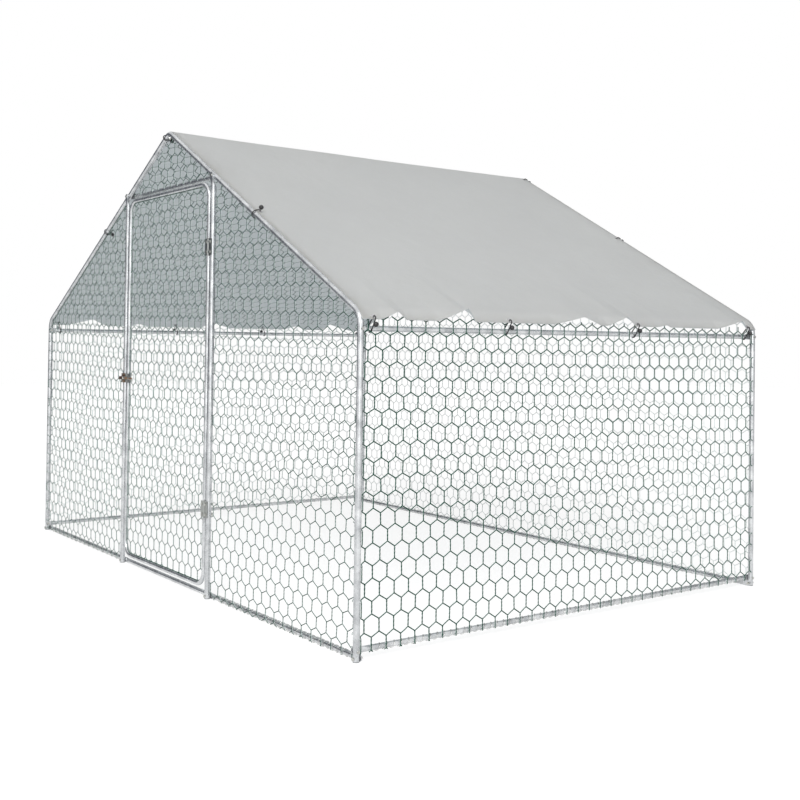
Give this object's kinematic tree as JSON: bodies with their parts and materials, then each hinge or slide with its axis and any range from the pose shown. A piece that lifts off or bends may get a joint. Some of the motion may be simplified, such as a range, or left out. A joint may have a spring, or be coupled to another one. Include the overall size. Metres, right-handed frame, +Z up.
{
  "type": "walk-in chicken coop",
  "caption": "Walk-in poultry run with a pitched tube frame, hex wire walls, a hinged gable door with a slide bolt, and a tarp roof held by ball ties.",
  "frame": {"origin": "centre of the footprint on the ground, under the ridge", "axes": "+X across the gables, +Y from the door gable to the rear gable, +Z up; the door faces -Y"},
  "size_m": [3.061, 2.0693, 1.904],
  "materials": {
    "tube": "galvanised, satin",
    "fastener": "zinc plated",
    "hinge": "zinc plated",
    "latch": "zinc plated",
    "wire": "plastic-coated wire",
    "tarp": "coated woven sheet",
    "grommet": "plain",
    "ball": "black",
    "cord": "black elastic",
    "foot": "grey"
  },
  "bodies": {
    "frame": {"corner_post_front_left": "tube", "corner_post_front_right": "tube", "corner_post_rear_left": "tube", "corner_post_rear_right": "tube", "door_header": "tube", "door_post_left_lower": "tube", "door_post_left_upper": "tube", "door_post_right_lower": "tube", "door_post_right_upper": "tube", "eave_elbow_front_left": "tube", "eave_elbow_front_right": "tube", "eave_elbow_rear_left": "tube", "eave_elbow_rear_right": "tube", "eave_tube_left_front": "tube", "eave_tube_left_rear": "tube", "eave_tube_right_front": "tube", "eave_tube_right_rear": "tube", "foot_plugs": "foot", "frame_fasteners": "fastener", "front_rail_left": "tube", "front_rail_right": "tube", "front_sill": "tube", "hinge_pins": "hinge", "hinge_post_leaves": "hinge", "latch_keeper": "latch", "net_front_left": "wire", "net_front_right": "wire", "net_front_top": "wire", "net_left": "wire", "net_rear": "wire", "net_right": "wire", "rafter_front_left": "tube", "rafter_front_right": "tube", "rafter_rear_left": "tube", "rafter_rear_right": "tube", "rear_rail_left": "tube", "rear_rail_middle": "tube", "rear_rail_right": "tube", "ridge_elbow_front": "tube", "ridge_elbow_rear": "tube", "ridge_tube_front": "tube", "ridge_tube_rear": "tube", "roof_tarp": "tarp", "side_rail_left_front": "tube", "side_rail_left_rear": "tube", "side_rail_right_front": "tube", "side_rail_right_rear": "tube", "tarp_grommets": "grommet", "tie_balls": "ball", "tie_loops": "cord"},
    "door": {"door_frame_lower": "tube", "door_frame_upper": "tube", "door_net": "wire", "hinge_door_leaves": "hinge", "door_fasteners": "fastener", "latch_plate": "latch"},
    "latch": {"latch_bolt": "latch"}
  },
  "joints": [
    {"name": "door_hinge", "type": "hinge", "parent": "frame", "child": "door", "pos_m": [0.42175, -1.01645, 0.8675], "axis": [0, 0, 1], "range_deg": [0, 110]},
    {"name": "latch_slide", "type": "slide", "parent": "door", "child": "latch", "axis": [-1, 0, 0], "range_m": [0, 0.025]}
  ]
}
